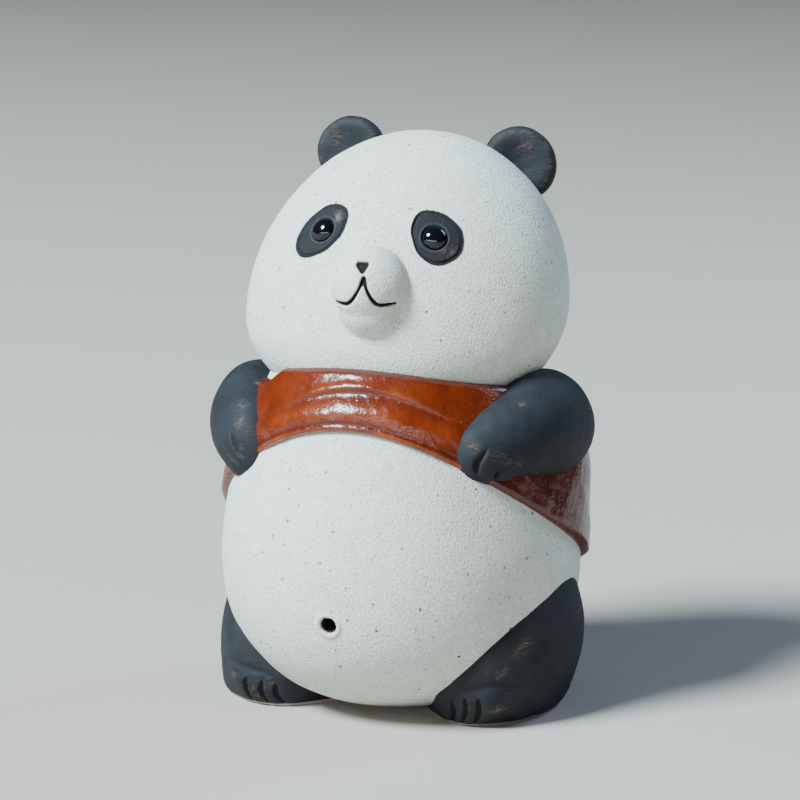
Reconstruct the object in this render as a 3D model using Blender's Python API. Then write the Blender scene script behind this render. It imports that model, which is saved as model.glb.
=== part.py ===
"""Panda figurine: a small tea figure of stoneware, moulded and luted together and fired as one piece.

Blender metres, +Z up. The figure faces -Y and its own left hand is at +X. It stands on Z = 0 on a flat
underside, with the origin under the axis of its belly.
"""

import math

import bmesh
import bpy
from mathutils import Matrix, Vector

# Driving sizes
FIGURE_HEIGHT = 0.090
VEST_THICKNESS = 0.0012
NAVEL_DIAMETER = 0.0021
NAVEL_DEPTH = 0.0040
EYE_DIAMETER = 0.0034
EYE_STANDS_OUT = 0.0009
FINGER_GROOVE = 0.0009
TOE_GROOVE = 0.0011
MOUTH_LINE = 0.0006

# The forms are drawn in parts, and the figure is this many parts high. One part is close to 1 mm.
PARTS_HIGH = 88.4
PART = FIGURE_HEIGHT / PARTS_HIGH

# Belly and chest: one egg, fuller below and in front
BELLY_LEVEL = 24.2
BELLY_HALF_WIDTH = 27.7
BELLY_FRONT = 29.6
BELLY_BACK = 26.3
BELLY_UP = 47.2
BELLY_UP_POWER = 1.6
BELLY_DOWN = 24.6
BELLY_DOWN_POWER = 2.45

# Head: a wide egg with low cheeks. It is lower at the face, and its crown and its jowl lie to the figure's left
HEAD_CENTRE = Vector((0.25, 1.0, 60.35))
HEAD_HALF_WIDTH = 24.95
HEAD_FRONT = 20.9
HEAD_BACK = 22.0
HEAD_UP = 26.7
HEAD_UP_POWER = 1.98
HEAD_DOWN = 15.3
HEAD_DOWN_POWER = 1.95
HEAD_JOWL = 2.6
HEAD_TIP = 0.16
HEAD_LEAN = 0.068
HEAD_TURN_DEG = 5.0

# Clay colour and finish as Blender shows them: red, green, blue, roughness
STONEWARE = (0.72, 0.76, 0.72, 0.85)

# Edges turned more than this stay crisp in the shading
SHARP_FROM_DEG = 50.0


def smooth_step(value, low, high):
    """0 below low and 1 above high, with a soft S between them."""
    share = min(max((value - low) / (high - low), 0.0), 1.0)
    return share * share * (3.0 - 2.0 * share)


def between(stations, place):
    """Values at a place along a list of (place, values), on a smooth curve through the stations."""
    places = [station[0] for station in stations]
    last = len(places) - 1
    place = min(max(place, places[0]), places[-1])
    i = max(k for k in range(last) if places[k] <= place)
    share = (place - places[i]) / (places[i + 1] - places[i])

    def slope(k, column):
        a, b = max(k - 1, 0), min(k + 1, last)
        rise = stations[b][1][column] - stations[a][1][column]
        return rise / (places[b] - places[a]) * (places[i + 1] - places[i])

    values = []
    for column in range(len(stations[0][1])):
        start, end = stations[i][1][column], stations[i + 1][1][column]
        out, into = slope(i, column), slope(i + 1, column)
        values.append(
            start
            + share * out
            + share**2 * (3 * (end - start) - 2 * out - into)
            + share**3 * (2 * (start - end) + out + into)
        )
    return values


def remove_everything():
    for obj in list(bpy.data.objects):
        bpy.data.objects.remove(obj, do_unlink=True)


def mesh_object(name, bm):
    """Object from a bmesh, with its faces pointing out."""
    bmesh.ops.recalc_face_normals(bm, faces=bm.faces)
    mesh = bpy.data.meshes.new(name)
    bm.to_mesh(mesh)
    bm.free()
    mesh.shade_smooth()
    mesh.set_sharp_from_angle(angle=math.radians(SHARP_FROM_DEG))
    obj = bpy.data.objects.new(name, mesh)
    bpy.context.scene.collection.objects.link(obj)
    return obj


def closed_skin(name, columns, rows, point):
    """Closed form with a pole at each end: point(round, along), both from 0 to 1, in parts."""
    bm = bmesh.new()
    rings = []
    for row in range(1, rows):
        ring = [bm.verts.new(point(col / columns, row / rows) * PART) for col in range(columns)]
        rings.append(ring)
    for lower, upper in zip(rings, rings[1:]):
        for col in range(columns):
            nxt = (col + 1) % columns
            bm.faces.new((lower[col], lower[nxt], upper[nxt], upper[col]))
    for ring, end in ((rings[0], 0.0), (rings[-1], 1.0)):
        pole = bm.verts.new(point(0.0, end) * PART)
        for col in range(columns):
            bm.faces.new((ring[col], ring[(col + 1) % columns], pole))
    return mesh_object(name, bm)


def tube(name, path, radii, sides):
    """Closed round tube along a path in metres, with a radius at each point and pointed ends left off."""
    bm = bmesh.new()
    rings = []
    last = len(path) - 1
    normal = None
    for k, place in enumerate(path):
        along = (path[min(k + 1, last)] - path[max(k - 1, 0)]).normalized()
        if normal is None:
            normal = along.orthogonal().normalized()
        normal = (normal - along * normal.dot(along)).normalized()
        across = along.cross(normal)
        ring = []
        for side in range(sides):
            turn = 2.0 * math.pi * side / sides
            ring.append(bm.verts.new(place + (normal * math.cos(turn) + across * math.sin(turn)) * radii[k]))
        rings.append(ring)
    for first, second in zip(rings, rings[1:]):
        for side in range(sides):
            nxt = (side + 1) % sides
            bm.faces.new((first[side], first[nxt], second[nxt], second[side]))
    bm.faces.new(rings[0])
    bm.faces.new(rings[-1])
    return mesh_object(name, bm)


def ball(name, centre, radius, columns, rows):
    """Ball with its centre in parts and its radius in metres."""
    bm = bmesh.new()
    bmesh.ops.create_uvsphere(bm, u_segments=columns, v_segments=rows, radius=radius)
    bmesh.ops.translate(bm, verts=bm.verts, vec=centre * PART)
    return mesh_object(name, bm)


# Belly and chest


def belly_ring(level):
    """Share of the full girth that the belly has at a level."""
    if level > BELLY_LEVEL:
        share, power = (level - BELLY_LEVEL) / BELLY_UP, BELLY_UP_POWER
    else:
        share, power = (BELLY_LEVEL - level) / BELLY_DOWN, BELLY_DOWN_POWER
    return max(1.0 - min(share, 1.0) ** power, 0.0) ** (1.0 / power)


def belly_place(azimuth, level, proud=0.0):
    """Point of the belly's skin at a level. Azimuth 0 is the front; proud lifts it off the skin, in parts."""
    ring = belly_ring(level)
    depth = BELLY_FRONT if math.cos(azimuth) > 0.0 else BELLY_BACK
    return Vector((
        (BELLY_HALF_WIDTH * ring + proud) * math.sin(azimuth),
        -(depth * ring + proud) * math.cos(azimuth),
        level,
    ))


def make_belly():
    def point(around, along):
        rise = math.sin(math.pi * (along - 0.5))
        if rise > 0.0:
            level = BELLY_LEVEL + BELLY_UP * rise ** (2.0 / BELLY_UP_POWER)
        else:
            level = BELLY_LEVEL - BELLY_DOWN * (-rise) ** (2.0 / BELLY_DOWN_POWER)
        return belly_place(2.0 * math.pi * around, level)

    return closed_skin("panda_figurine", 46, 30, point)


# Head, with the muzzle as two balls of clay pressed on


def head_matrix():
    """Places the head's own frame in the figure: its centre, and its turn to the figure's left."""
    return Matrix.Translation(HEAD_CENTRE) @ Matrix.Rotation(math.radians(HEAD_TURN_DEG), 4, "Z")


def head_place(azimuth, rise):
    """Point of the head's skin in parts. Azimuth 0 is the face; rise is -1 at the chin and 1 at the crown."""
    if rise > 0.0:
        reach, power = HEAD_UP, HEAD_UP_POWER
    else:
        reach, power = HEAD_DOWN + HEAD_JOWL * (0.5 + 0.5 * math.sin(azimuth)) ** 2, HEAD_DOWN_POWER
    up = math.copysign(abs(rise) ** (2.0 / power), rise) * reach
    ring = max(1.0 - rise * rise, 0.0) ** (1.0 / power)
    depth = HEAD_FRONT if math.cos(azimuth) > 0.0 else HEAD_BACK
    y = -depth * ring * math.cos(azimuth)
    return Vector((HEAD_HALF_WIDTH * ring * math.sin(azimuth) + HEAD_LEAN * up, y, up + HEAD_TIP * y))


def make_head():
    frame = head_matrix()

    def point(around, along):
        return frame @ head_place(2.0 * math.pi * around, math.sin(math.pi * (along - 0.5)))

    return closed_skin("head", 46, 28, point)


MUZZLE_CENTRE = Vector((-0.5, -18.9, 6.2))
MUZZLE_RADIUS = 5.8
LIP_CENTRE = Vector((-0.4, -18.4, 3.1))
LIP_RADIUS = 5.0


def muzzle_place(across, height):
    """Point on the muzzle's front, in the head's frame, at a place across it and a height above its centre."""
    depths = []
    for centre, radius in ((MUZZLE_CENTRE, MUZZLE_RADIUS), (LIP_CENTRE, LIP_RADIUS)):
        up = MUZZLE_CENTRE.z + height - centre.z
        inside = radius**2 - across**2 - up**2
        if inside > 0.0:
            depths.append(centre.y - math.sqrt(inside))
    return Vector((MUZZLE_CENTRE.x + across, min(depths), MUZZLE_CENTRE.z + height))


def make_muzzle():
    frame = head_matrix()
    return [
        ball("muzzle", frame @ MUZZLE_CENTRE, MUZZLE_RADIUS * PART, 22, 14),
        ball("lower_lip", frame @ LIP_CENTRE, LIP_RADIUS * PART, 22, 12),
    ]


NOSE_ACROSS = 0.5
NOSE_BOTTOM, NOSE_TOP = 2.7, 4.3
MOUTH_TOP, MOUTH_DROP, MOUTH_HALF_WIDTH = 1.8, 4.0, 4.7


def make_mouth_cutters():
    """Two engraved curves that part below the nose, and the nose itself, a small wedge pressed in."""
    frame = head_matrix()
    cutters = []
    for side in (-1, 1):
        path = []
        steps = 9
        for k in range(steps + 1):
            share = k / steps
            drop = math.sin(0.5 * math.pi * min(share / 0.62, 1.0)) - 0.14 * smooth_step(share, 0.62, 1.0)
            across = NOSE_ACROSS + side * (0.1 + MOUTH_HALF_WIDTH * share**1.15)
            path.append((frame @ muzzle_place(across, MOUTH_TOP - MOUTH_DROP * drop)) * PART)
        radii = [0.5 * MOUTH_LINE] * len(path)
        cutters.append(tube(f"mouth_line_{'right' if side < 0 else 'left'}", path, radii, 6))
    path = [(frame @ muzzle_place(NOSE_ACROSS, height)) * PART for height in (NOSE_BOTTOM, NOSE_TOP)]
    cutters.append(tube("nose_wedge", path, [0.15 * PART, 1.0 * PART], 10))
    return cutters


EYE_AZIMUTH_DEG = (-30.2, 21.4)
EYE_RISE = (0.59, 0.59)


def make_eyes():
    """Domes of black glaze, one for each side, that stand out from the head."""
    frame = head_matrix()
    eyes = []
    radius = 0.5 * EYE_DIAMETER
    for name, azimuth, rise in zip(("eye_right", "eye_left"), EYE_AZIMUTH_DEG, EYE_RISE):
        turn = math.radians(azimuth)
        here = head_place(turn, rise)
        sideways = head_place(turn + 0.01, rise) - here
        upward = head_place(turn, rise + 0.01) - here
        out = frame.to_3x3() @ sideways.cross(upward).normalized()
        sphere = (radius**2 + EYE_STANDS_OUT**2) / (2.0 * EYE_STANDS_OUT)
        centre = (frame @ here) * PART + out * (EYE_STANDS_OUT - sphere)
        eyes.append(ball(name, centre / PART, sphere, 16, 10))
    return eyes


EARS = {"ear_left": (Vector((14.9, 11.0, 21.2)), 5.9), "ear_right": (Vector((-11.8, 11.0, 22.6)), 5.5)}
EAR_HALF_THICKNESS = 2.3
EAR_DISH_RADIUS = 6.4
EAR_DISH_OFFSET = 7.1


def make_ears():
    """Each ear is a thick round disc set into the crown, dished on the side that faces forward."""
    frame = head_matrix()
    ears, dishes = [], []
    for name, (centre, radius) in EARS.items():
        side = math.copysign(1.0, centre.x)
        lean = Matrix.Rotation(math.radians(side * 36.0), 4, "Y") @ Matrix.Rotation(math.radians(-8.0), 4, "X")
        place = frame @ Matrix.Translation(centre) @ lean

        def point(around, along, place=place, radius=radius):
            turn, rise = 2.0 * math.pi * around, math.sin(math.pi * (along - 0.5))
            ring = max(1.0 - rise * rise, 0.0) ** 0.38
            return place @ Vector((
                radius * ring * math.cos(turn),
                EAR_HALF_THICKNESS * math.copysign(abs(rise) ** 0.8, rise),
                radius * ring * math.sin(turn),
            ))

        ears.append(closed_skin(name, 24, 10, point))
        dish = place @ Vector((0.0, -EAR_DISH_OFFSET, 0.3))
        dishes.append(ball(name + "_dish", dish, EAR_DISH_RADIUS * PART, 20, 14))
    return ears, dishes


# Vest: a short glazed top, its hem high over the belly and low at the back

# The neckline follows the head's underside: a mean level, then how much higher it is in front than behind,
# on the figure's right than on its left, and in front and behind than at the sides, each as a half wave
NECK_LEVEL, NECK_TO_FRONT, NECK_TO_RIGHT, NECK_SADDLE = 52.0, 0.45, 0.4, 1.4
NECK_FADE = 1.6
HEM_FRONT, HEM_BACK, HEM_FALL_DEG = 45.9, 18.9, 140.0
# Each fold at the chest: its level in front, how far it falls per square degree, its half width and its height
CHEST_FOLDS = ((48.7, 0.0027, 1.3, 0.75), (52.2, 0.0036, 0.8, 0.45))
CHEST_HALF_WIDTH_DEG = 46.0
# Behind the arms the cloth is full: how far it stands out, the level and half height, and where it begins
FULL_BACK, FULL_BACK_LEVEL, FULL_BACK_HALF_HEIGHT = 2.4, 39.0, 9.0
FULL_BACK_FROM_DEG, FULL_BACK_TO_DEG = 75.0, 115.0


def degrees_from_front(azimuth):
    return abs(math.degrees(math.atan2(math.sin(azimuth), math.cos(azimuth))))


def hem_level(azimuth):
    """Level of the hem at an azimuth: it falls in one long wave from the front to the back."""
    share = min(degrees_from_front(azimuth) / HEM_FALL_DEG, 1.0)
    return HEM_BACK + (HEM_FRONT - HEM_BACK) * 0.5 * (1.0 + math.cos(math.pi * share))


def neck_level(azimuth):
    """Level of the neckline at an azimuth."""
    waves = NECK_TO_FRONT * math.cos(azimuth) - NECK_TO_RIGHT * math.sin(azimuth)
    return NECK_LEVEL + waves + NECK_SADDLE * math.cos(2.0 * azimuth)


def bell(distance, half_width):
    return math.exp(-((distance / half_width) ** 2))


def vest_proud(azimuth, level):
    """How far the vest stands off the belly, in parts: its thickness, two folds at the chest and a full back."""
    away = degrees_from_front(azimuth)
    folds = bell(away, CHEST_HALF_WIDTH_DEG) * sum(
        height * bell(level - crest + fall * away * away, half_width)
        for crest, fall, half_width, height in CHEST_FOLDS
    )
    full = smooth_step(away, FULL_BACK_FROM_DEG, FULL_BACK_TO_DEG)
    back = FULL_BACK * full * bell(level - FULL_BACK_LEVEL, FULL_BACK_HALF_HEIGHT)
    neck = neck_level(azimuth)
    return (VEST_THICKNESS / PART + folds + back) * (1.0 - smooth_step(level, neck - NECK_FADE, neck))


def make_vest():
    """Ring of clay round the chest and back: a closed band whose inner side lies in the belly."""
    columns, rows, sunk = 52, 12, -1.6
    bm = bmesh.new()
    loops = []
    for col in range(columns):
        azimuth = 2.0 * math.pi * col / columns
        hem, neck = hem_level(azimuth), neck_level(azimuth)
        loop = []
        for row in range(rows + 1):
            level = neck + (hem - neck) * row / rows
            proud = vest_proud(azimuth, level)
            if row == rows:
                proud *= 0.55
                level -= 0.25
            loop.append(bm.verts.new(belly_place(azimuth, level, proud) * PART))
        for level in (hem, 0.5 * (hem + neck), neck):
            loop.append(bm.verts.new(belly_place(azimuth, level, sunk) * PART))
        loops.append(loop)
    for col in range(columns):
        here, there = loops[col], loops[(col + 1) % columns]
        for k in range(len(here)):
            nxt = (k + 1) % len(here)
            bm.faces.new((here[k], here[nxt], there[nxt], there[k]))
    return mesh_object("vest", bm)


# Arms: chunky rolls of clay laid round the body, from behind the shoulder to a paw on the belly.
# Each station is an azimuth in degrees, then the section there: its level, how far out its centre lies,
# its half height and its half thickness. The right arm hangs a little lower.

ARM = (
    (37.5, (42.0, 24.2, 3.8, 3.0)),
    (45.0, (42.3, 24.1, 4.6, 3.9)),
    (52.0, (42.6, 23.6, 5.9, 4.9)),
    (60.0, (43.4, 23.3, 6.3, 5.6)),
    (72.0, (44.1, 22.9, 7.4, 6.4)),
    (90.0, (43.2, 22.6, 7.9, 6.9)),
    (110.0, (42.4, 22.4, 7.8, 6.8)),
    (132.0, (42.4, 21.8, 7.0, 5.4)),
)
ARM_START, ARM_END = ARM[0][0], ARM[-1][0]
RIGHT_ARM_LOWER = 1.1


def arm_place(side, around, along):
    """Point of an arm's skin: an oval section in the plane of each azimuth, closed round at both ends."""
    sweep = ARM_START + (ARM_END - ARM_START) * 0.5 * (1.0 - math.cos(math.pi * along))
    level, out, tall, thick = between(ARM, sweep)
    level -= RIGHT_ARM_LOWER if side < 0 else 0.0
    to_paw = min((sweep - ARM_START) / 12.0, 1.0)
    to_back = min((ARM_END - sweep) / 26.0, 1.0)
    close = math.sqrt(max(1.0 - (1.0 - to_paw) ** 3, 0.0)) * math.sqrt(max(1.0 - (1.0 - to_back) ** 2, 0.0))
    turn = 2.0 * math.pi * around
    azimuth = math.radians(sweep)
    reach = out + thick * close * math.cos(turn)
    return Vector((
        side * reach * math.sin(azimuth),
        -reach * math.cos(azimuth),
        level + tall * close * math.sin(turn),
    ))


def make_arms():
    """Both arms, and the cutters for the finger grooves on their paws."""
    arms, grooves = [], []
    for name, side in (("arm_left", 1), ("arm_right", -1)):
        arms.append(closed_skin(name, 22, 18, lambda around, along, side=side: arm_place(side, around, along)))
        for finger in range(3):
            around = (finger - 1) * 0.1 - 0.04
            path = [arm_place(side, around, along) * PART for along in (0.08, 0.14, 0.2, 0.26)]
            radii = [0.5 * FINGER_GROOVE * taper for taper in (1.0, 1.0, 0.8, 0.35)]
            grooves.append(tube(f"{name}_finger_groove_{finger + 1}", path, radii, 6))
    return arms, grooves


# Legs: a wedge of clay on each flank of the belly. Its top edge climbs from the toes to the hip, and its
# sole is flat. Each station is an azimuth in degrees, then the level where the leg meets the belly, how far
# out its sole reaches, and how much it swells between the two.

LEG = (
    (33.5, (5.6, 17.0, 0.5)),
    (36.0, (6.8, 18.4, 0.9)),
    (39.0, (8.6, 19.6, 1.3)),
    (44.0, (11.2, 21.6, 1.8)),
    (50.0, (14.0, 23.4, 2.2)),
    (60.0, (17.0, 25.0, 2.1)),
    (75.0, (19.6, 25.8, 1.9)),
    (88.0, (20.3, 25.8, 2.0)),
    (100.0, (18.2, 25.0, 2.2)),
    (110.0, (15.4, 24.4, 2.2)),
    (122.0, (12.6, 23.8, 1.8)),
    (134.0, (9.6, 22.6, 1.2)),
    (146.0, (6.0, 19.0, 0.6)),
)
LEG_START, LEG_END = LEG[0][0], LEG[-1][0]
SOLE_BELOW = -1.5
# The right leg begins further back, its hip is lower from one azimuth to the next, and its foot is fuller
RIGHT_FOOT_BACK_DEG = 2.5
RIGHT_HIP_LOWER, RIGHT_HIP_FROM_DEG, RIGHT_HIP_TO_DEG = 3.4, 38.0, 72.0
RIGHT_FOOT_FULLER, RIGHT_FOOT_AT_DEG, RIGHT_FOOT_HALF_WIDTH_DEG = 2.2, 75.0, 25.0


def leg_place(side, sweep, down):
    """Point of a leg's outer skin in the plane of an azimuth; down is 0 where it meets the belly, 1 at the sole."""
    top, sole, swell = between(LEG, sweep)
    if side < 0:
        top -= RIGHT_HIP_LOWER * smooth_step(sweep, RIGHT_HIP_FROM_DEG, RIGHT_HIP_TO_DEG)
        fuller = RIGHT_FOOT_FULLER * bell(sweep - RIGHT_FOOT_AT_DEG, RIGHT_FOOT_HALF_WIDTH_DEG)
        sole += fuller
        swell -= 0.4 * fuller
        sweep += RIGHT_FOOT_BACK_DEG * (LEG_END - sweep) / (LEG_END - LEG_START)
    azimuth = side * math.radians(sweep)
    meeting = belly_place(azimuth, top, -0.5)
    start = math.hypot(meeting.x, meeting.y)
    round_off = 1.3 * max(down - 0.82, 0.0) ** 2 / 0.18**2
    reach = start + (sole - start) * down + swell * 4.0 * down * (1.0 - down) - round_off * 0.4
    return Vector((reach * math.sin(azimuth), -reach * math.cos(azimuth), top * (1.0 - down)))


def make_legs():
    """Both legs, and the cutters for the grooves between their toes."""
    legs, grooves = [], []
    sections, rows = 28, 9
    for name, side in (("leg_left", 1), ("leg_right", -1)):
        bm = bmesh.new()
        loops = []
        for k in range(sections + 1):
            sweep = LEG_START + (LEG_END - LEG_START) * k / sections
            loop = [leg_place(side, sweep, row / rows) for row in range(rows + 1)]
            sole = loop[-1]
            inner = 0.55
            loop.append(Vector((sole.x, sole.y, SOLE_BELOW)))
            loop.append(Vector((sole.x * inner, sole.y * inner, SOLE_BELOW)))
            loop.append(Vector((loop[0].x * inner, loop[0].y * inner, loop[0].z)))
            loops.append([bm.verts.new(place * PART) for place in loop])
        for here, there in zip(loops, loops[1:]):
            for k in range(len(here)):
                nxt = (k + 1) % len(here)
                bm.faces.new((here[k], here[nxt], there[nxt], there[k]))
        bm.faces.new(loops[0])
        bm.faces.new(loops[-1])
        legs.append(mesh_object(name, bm))
        for toe, sweep in enumerate((37.5, 41.5, 46.0)):
            path = [leg_place(side, sweep, down) * PART for down in (0.45, 0.6, 0.75, 0.9, 1.0)]
            path.append(path[-1] - Vector((0.0, 0.0, PART)))
            radii = [0.5 * TOE_GROOVE * taper for taper in (0.3, 0.8, 1.0, 1.0, 1.0, 1.0)]
            grooves.append(tube(f"{name}_toe_groove_{toe + 1}", path, radii, 6))
    return legs, grooves


# Navel: a round hole pricked through the shell of the belly

NAVEL_AZIMUTH_DEG = -2.5
NAVEL_LEVEL = 17.2


def make_navel_cutter():
    azimuth = math.radians(NAVEL_AZIMUTH_DEG)
    mouth = belly_place(azimuth, NAVEL_LEVEL) * PART
    below = belly_place(azimuth, NAVEL_LEVEL - 0.5) * PART
    above = belly_place(azimuth, NAVEL_LEVEL + 0.5) * PART
    across = Vector((math.cos(azimuth), math.sin(azimuth), 0.0))
    inward = (above - below).normalized().cross(across)
    inward = inward if inward.y > 0.0 else -inward
    path = [mouth - inward * NAVEL_DIAMETER, mouth + inward * NAVEL_DEPTH]
    return tube("navel", path, [0.5 * NAVEL_DIAMETER] * 2, 16)


def make_ground():
    """Block below Z = 0 that cuts the underside flat."""
    bm = bmesh.new()
    size = FIGURE_HEIGHT
    bmesh.ops.create_cube(bm, size=size)
    bmesh.ops.translate(bm, verts=bm.verts, vec=(0.0, 0.0, -0.5 * size))
    return mesh_object("ground", bm)


def stoneware():
    red, green, blue, roughness = STONEWARE
    material = bpy.data.materials.new("pale_speckled_stoneware")
    material.use_nodes = True
    shader = material.node_tree.nodes["Principled BSDF"]
    shader.inputs["Base Color"].default_value = (red, green, blue, 1.0)
    shader.inputs["Roughness"].default_value = roughness
    shader.inputs["Metallic"].default_value = 0.0
    return material


def apply_boolean(figure, other, operation):
    other.hide_render = True
    other.display_type = "WIRE"
    modifier = figure.modifiers.new(f"{operation.lower()} {other.name}", "BOOLEAN")
    modifier.operation = operation
    modifier.object = other


def main():
    remove_everything()
    figure = make_belly()
    figure.data.materials.append(stoneware())
    ears, dishes = make_ears()
    arms, finger_grooves = make_arms()
    legs, toe_grooves = make_legs()
    for cutter in finger_grooves:
        owner = next(arm for arm in arms if cutter.name.startswith(arm.name))
        apply_boolean(owner, cutter, "DIFFERENCE")
    for ear, dish in zip(ears, dishes):
        apply_boolean(ear, dish, "DIFFERENCE")
    for form in [make_head(), *make_muzzle(), make_vest(), *ears, *arms, *legs, *make_eyes()]:
        apply_boolean(figure, form, "UNION")
    for cutter in [*toe_grooves, *make_mouth_cutters(), make_navel_cutter(), make_ground()]:
        apply_boolean(figure, cutter, "DIFFERENCE")
    return figure


main()
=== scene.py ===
import math

import bpy
import numpy as np
from mathutils import Matrix, Vector


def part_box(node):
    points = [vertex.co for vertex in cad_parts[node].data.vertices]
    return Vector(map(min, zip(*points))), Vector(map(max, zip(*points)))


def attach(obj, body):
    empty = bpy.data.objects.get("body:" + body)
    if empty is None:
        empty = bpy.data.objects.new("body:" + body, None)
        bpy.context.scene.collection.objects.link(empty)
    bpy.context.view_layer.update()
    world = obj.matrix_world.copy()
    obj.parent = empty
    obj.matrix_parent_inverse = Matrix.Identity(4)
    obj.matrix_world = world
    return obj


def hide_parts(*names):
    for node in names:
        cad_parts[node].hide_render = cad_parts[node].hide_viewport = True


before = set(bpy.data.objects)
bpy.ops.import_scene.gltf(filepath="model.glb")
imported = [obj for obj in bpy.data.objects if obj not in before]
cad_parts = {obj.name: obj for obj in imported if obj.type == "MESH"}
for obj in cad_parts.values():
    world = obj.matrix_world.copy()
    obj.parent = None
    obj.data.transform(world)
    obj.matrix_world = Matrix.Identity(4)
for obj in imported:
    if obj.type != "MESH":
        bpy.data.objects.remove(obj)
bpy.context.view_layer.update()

# Belly and chest: one hollow egg of sandy stoneware, pressed in a mould, sponged smooth and left bare.
# A vent hole, which is also the navel, is pricked through the shell so that it does not burst in the kiln.

# The forms are drawn in parts, as the figure's maker divides its height. One part is close to 1 mm.
PARTS_HIGH = 88.4
clay_low, clay_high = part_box("panda_figurine")
PART = (clay_high.z - clay_low.z) / PARTS_HIGH
MM = 0.001 / PART

BELLY_LEVEL = 24.2
BELLY_HALF_WIDTH = 27.7
BELLY_FRONT, BELLY_BACK = 29.6, 26.3
BELLY_UP, BELLY_UP_POWER = 47.2, 1.6
BELLY_DOWN, BELLY_DOWN_POWER = 24.6, 2.45
BELLY_WAVE, BELLY_WAVE_SIZE = 0.10, 17.0
BELLY_RIPPLE, RIPPLE_SIZE = 0.018, 3.5
NAVEL_AZIMUTH = math.radians(-2.5)
NAVEL_LEVEL = 17.3
NAVEL_RADIUS = 1.2 * MM
NAVEL_DEPTH = 4.0 * MM
NAVEL_RIM = 0.26
# The wash mark is the depth inside a brushed patch, and this is its value where there is none
UNWASHED = -10.0


def graded(count, *focuses):
    """Places from 0 to 1 that crowd round each focus (place, width, crowding). Their density is 1 plus a bell
    at each focus, and they lie where its running total passes equal steps."""
    fine = np.linspace(0.0, 1.0, 4001)
    density = 1.0 + sum(crowding * bell(fine, place, width) for place, width, crowding in focuses)
    total = np.concatenate([[0.0], np.cumsum(0.5 * (density[1:] + density[:-1]))])
    return np.interp(np.linspace(0.0, total[-1], count), total, fine)


def step(value, low, high):
    """0 below low and 1 above high, with a soft S between them."""
    share = np.clip((value - low) / (high - low), 0.0, 1.0)
    return share * share * (3.0 - 2.0 * share)


def bell(value, middle, width):
    """1 at the middle, falling off on both sides as a bell curve of that half width."""
    return np.exp(-(((value - middle) / width) ** 2))


def uneven(points, size, seed):
    """Soft unevenness of hand-finished clay, about -1 to 1: the mean of eight crossing waves of about that
    size, each drawn with its own direction, length and start."""
    draw = np.random.default_rng(seed)
    ways = draw.normal(size=(8, 3))
    ways *= (2.0 * math.pi / size / np.linalg.norm(ways, axis=1))[:, None] * draw.uniform(0.7, 1.4, (8, 1))
    return 1.6 * np.sin(points @ ways.T + draw.uniform(0.0, 2.0 * math.pi, 8)).mean(axis=-1)


def raised(points, height):
    """Points moved out along the skin by a height. The skin's normal is the step round crossed with the
    step along."""
    around = np.roll(points, -1, axis=1) - np.roll(points, 1, axis=1)
    along = np.gradient(points, axis=0)
    normal = np.cross(around, along)
    normal /= np.maximum(np.linalg.norm(normal, axis=2, keepdims=True), 1e-12)
    return points + normal * height[..., None]


def clay_form(name, points, marks, poles=True):
    """Closed mesh from a grid of points in parts, in rows that close on themselves. With poles, the first and
    the last row are one point each. Without, the last row joins the first, as on a ring. Marks are values at
    the points, by name, which the materials read."""
    rows, columns = points.shape[:2]
    index = np.arange(rows * columns).reshape(rows, columns)
    if poles:
        index[0], index[-1] = index[0, 0], index[-1, 0]
        upper, lower = index[1:], index[:-1]
    else:
        upper, lower = np.roll(index, -1, axis=0), index
    quads = np.stack([lower, np.roll(lower, -1, axis=1), np.roll(upper, -1, axis=1), upper], axis=-1)
    used, quads = np.unique(quads, return_inverse=True)
    faces = [list(dict.fromkeys(face)) for face in quads.reshape(-1, 4).tolist()]
    mesh = bpy.data.meshes.new(name)
    mesh.from_pydata((points.reshape(-1, 3)[used] * PART).tolist(), [], faces)
    mesh.shade_smooth()
    for mark, values in marks.items():
        attribute = mesh.attributes.new(mark, "FLOAT", "POINT")
        attribute.data.foreach_set("value", values.reshape(-1)[used].astype(np.float32))
    piece = bpy.data.objects.new(name, mesh)
    bpy.context.scene.collection.objects.link(piece)
    return piece


def egg_share(share, power):
    """Girth of a superellipse at a share of its reach."""
    return (1.0 - np.clip(share, 0.0, 1.0) ** power) ** (1.0 / power)


def belly_skin(azimuth, level, proud=0.0):
    """Skin of the belly at an azimuth, 0 in front, and a level. Proud lifts it off the skin."""
    above = egg_share((level - BELLY_LEVEL) / BELLY_UP, BELLY_UP_POWER)
    below = egg_share((BELLY_LEVEL - level) / BELLY_DOWN, BELLY_DOWN_POWER)
    girth = np.where(level > BELLY_LEVEL, above, below)
    depth = np.where(np.cos(azimuth) > 0.0, BELLY_FRONT, BELLY_BACK)
    x = (BELLY_HALF_WIDTH * girth + proud) * np.sin(azimuth)
    y = -(depth * girth + proud) * np.cos(azimuth)
    return np.stack(np.broadcast_arrays(x, y, level), axis=-1)


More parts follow.
